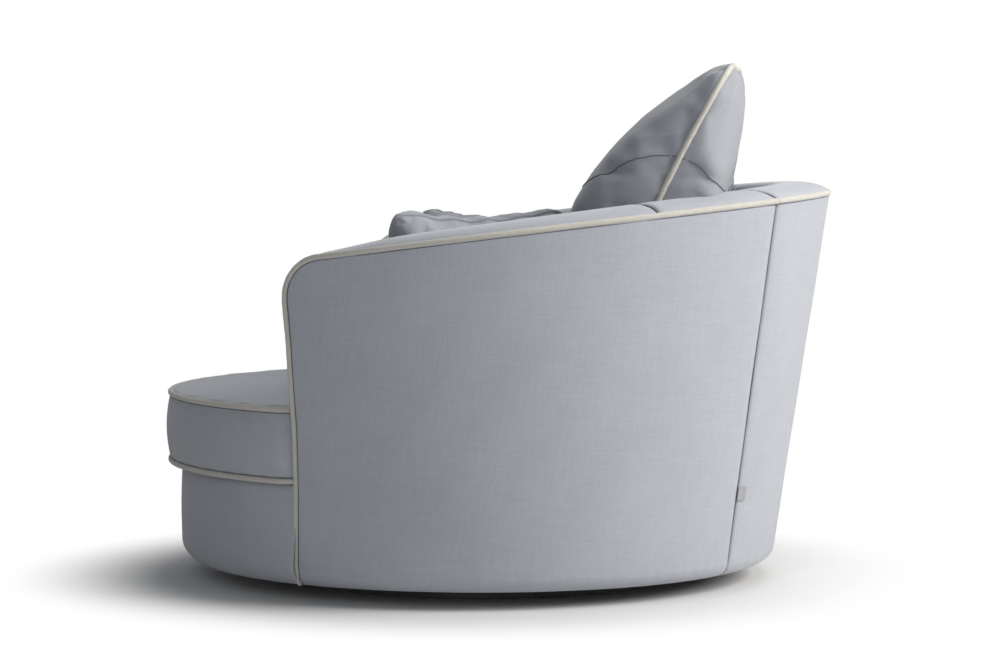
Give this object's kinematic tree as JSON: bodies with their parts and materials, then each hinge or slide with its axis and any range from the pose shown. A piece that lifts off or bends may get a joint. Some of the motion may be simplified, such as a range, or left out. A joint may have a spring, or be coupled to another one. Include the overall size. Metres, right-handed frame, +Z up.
{
  "type": "cuddle chair",
  "caption": "Round swivel cuddle chair: tub wall with a rolled, piped edge, overhanging round seat cushion, large piped back pillow and leaning scatter cushions",
  "frame": {"origin": "on the swivel axis at floor level, on the underside of the floor pad", "axes": "+Z up along the swivel axis, -Y the way the chair faces, +X to the sitter's left; the chair's plan is symmetric about the YZ plane"},
  "size_m": [1.2328, 1.189, 0.9246],
  "materials": {
    "fabric_blue_grey": "smooth linen-look weave, matt",
    "fabric_blue_grey_dark": "smooth linen-look weave, matt",
    "piping_beige": "fine woven piping in a contrast colour, matt",
    "foam": "open-cell upholstery foam",
    "wadding": "polyester wadding",
    "webbing": "elastic upholstery webbing",
    "dust_cloth": "black non-woven lining",
    "frame_wood": "plywood and softwood, uncoated",
    "plinth_black": "board painted satin black",
    "pad_black": "felt-like floor pad",
    "bearing_steel": "zinc-plated pressed steel",
    "glide_nylon": "natural nylon",
    "label_cloth": "woven tape, left bare"
  },
  "bodies": {
    "swivel_base": {"floor_pad": "pad_black", "swivel_plinth": "plinth_black", "lower_bearing_plate": "bearing_steel", "glide_ring": "glide_nylon", "pivot_pin": "bearing_steel", "plinth_screws": "bearing_steel"},
    "chair_body": {"upper_bearing_plate": "bearing_steel", "board_screws": "bearing_steel", "base_board": "frame_wood", "dust_cloth": "dust_cloth", "front_rail": "frame_wood", "base_front_pad": "foam", "base_front_cover": "fabric_blue_grey", "deck_ring": "frame_wood", "webbing_lengthways": "webbing", "webbing_crossways": "webbing", "deck_pad": "wadding", "deck_cloth": "fabric_blue_grey_dark", "wall_ribs": "frame_wood", "label_tab": "label_cloth", "outside_back_cover": "fabric_blue_grey", "outside_back_lining": "wadding", "inside_back_cover": "fabric_blue_grey", "back_foam": "foam", "back_top_rail": "frame_wood", "back_rim_piping": "piping_beige", "outside_cover_right": "fabric_blue_grey", "outside_lining_right": "wadding", "corner_cover_right": "fabric_blue_grey", "arm_cover_right": "fabric_blue_grey", "arm_foam_right": "foam", "arm_top_rail_right": "frame_wood", "arm_rim_piping_right": "piping_beige", "arm_front_piping_right": "piping_beige", "arm_front_cover_right": "fabric_blue_grey", "arm_front_pad_right": "wadding", "arm_front_board_right": "frame_wood", "outside_cover_left": "fabric_blue_grey", "outside_lining_left": "wadding", "corner_cover_left": "fabric_blue_grey", "arm_cover_left": "fabric_blue_grey", "arm_foam_left": "foam", "arm_top_rail_left": "frame_wood", "arm_rim_piping_left": "piping_beige", "arm_front_piping_left": "piping_beige", "arm_front_cover_left": "fabric_blue_grey", "arm_front_pad_left": "wadding", "arm_front_board_left": "frame_wood"},
    "seat": {"seat_cushion": "fabric_blue_grey", "seat_piping_top": "piping_beige", "seat_piping_bottom": "piping_beige"},
    "pillow": {"back_pillow": "fabric_blue_grey", "back_pillow_piping": "piping_beige"},
    "right_scatter": {"scatter_cushion_right": "fabric_blue_grey", "scatter_piping_right": "fabric_blue_grey"},
    "left_scatter": {"scatter_cushion_left": "fabric_blue_grey", "scatter_piping_left": "fabric_blue_grey"}
  },
  "joints": [
    {"name": "swivel", "type": "hinge", "parent": "swivel_base", "child": "chair_body", "pos_m": [0, 0, 0.03], "axis": [0, 0, 1], "continuous": true},
    {"name": "seat_lift", "type": "slide", "parent": "chair_body", "child": "seat", "axis": [0, 0, 1], "range_m": [0, 0.52]},
    {"name": "pillow_lift", "type": "slide", "parent": "seat", "child": "pillow", "axis": [0, 0, 1], "range_m": [0, 0.5]},
    {"name": "right_scatter_lift", "type": "slide", "parent": "seat", "child": "right_scatter", "axis": [0, 0, 1], "range_m": [0, 0.45]},
    {"name": "left_scatter_lift", "type": "slide", "parent": "seat", "child": "left_scatter", "axis": [0, 0, 1], "range_m": [0, 0.45]}
  ]
}
